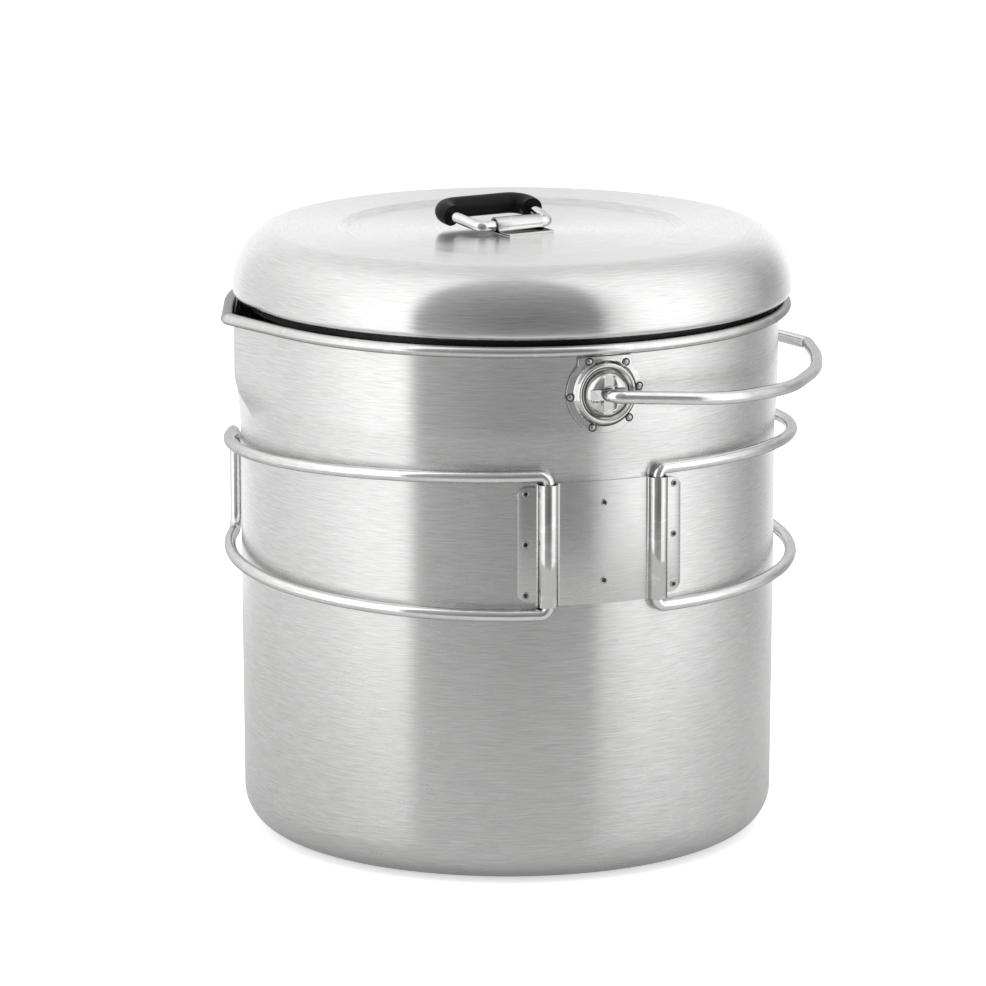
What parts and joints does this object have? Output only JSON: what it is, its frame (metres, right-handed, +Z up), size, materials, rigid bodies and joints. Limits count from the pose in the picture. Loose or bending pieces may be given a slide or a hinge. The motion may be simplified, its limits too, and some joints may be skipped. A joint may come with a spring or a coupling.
{
  "type": "camping cooking pot",
  "caption": "Tall round steel camping pot with a pouring spout, lift-off lid with sleeved ring, swinging wire bail and folding wire handles.",
  "frame": {"origin": "centre of the base, on the surface that the pot stands on", "axes": "+Z up along the pot's axis; the spout points to -X, the bail is folded to +X, and the handle bracket faces -Y"},
  "size_m": [0.1588, 0.1566, 0.1591],
  "materials": {
    "body_steel": "satin, fine grain round the wall",
    "lid_steel": "satin, fine grain round the lid",
    "bracket_steel": "satin rolled strip",
    "polished_steel": "bright pressed sheet",
    "wire_steel": "bright drawn wire",
    "weld_steel": "heat-darkened spot welds",
    "sleeve_rubber": "matte black heat-proof sleeve"
  },
  "bodies": {
    "pot": {"pot_body": "body_steel", "front_bail_ear": "polished_steel", "rear_bail_ear": "polished_steel", "front_ear_welds": "weld_steel", "rear_ear_welds": "weld_steel", "handle_bracket": "bracket_steel", "bracket_welds": "weld_steel"},
    "bail": {"bail_wire": "wire_steel"},
    "left_handle": {"left_handle_wire": "wire_steel"},
    "right_handle": {"right_handle_wire": "wire_steel"},
    "lid": {"lid_shell": "lid_steel", "lid_clip": "polished_steel"},
    "lid_ring": {"lid_ring_wire": "wire_steel", "lid_ring_sleeve": "sleeve_rubber"}
  },
  "joints": [
    {"name": "bail_swing", "type": "hinge", "parent": "pot", "child": "bail", "pos_m": [0, 0, 0.1227], "axis": [0, -1, 0], "range_deg": [0, 187]},
    {"name": "left_handle_fold", "type": "hinge", "parent": "pot", "child": "left_handle", "pos_m": [-0.01423, -0.06752, 0.0857], "axis": [0, 0, 1], "range_deg": [0, 135]},
    {"name": "right_handle_fold", "type": "hinge", "parent": "pot", "child": "right_handle", "pos_m": [0.01423, -0.06752, 0.0857], "axis": [0, 0, -1], "range_deg": [0, 133.7]},
    {"name": "lid_lift", "type": "slide", "parent": "pot", "child": "lid", "axis": [0, 0, 1], "range_m": [0, 0.06]},
    {"name": "lid_ring_fold", "type": "hinge", "parent": "lid", "child": "lid_ring", "pos_m": [0.0019, -0.0053, 0.15415], "axis": [0.9848, 0.1736, 0], "range_deg": [0, 150]}
  ]
}
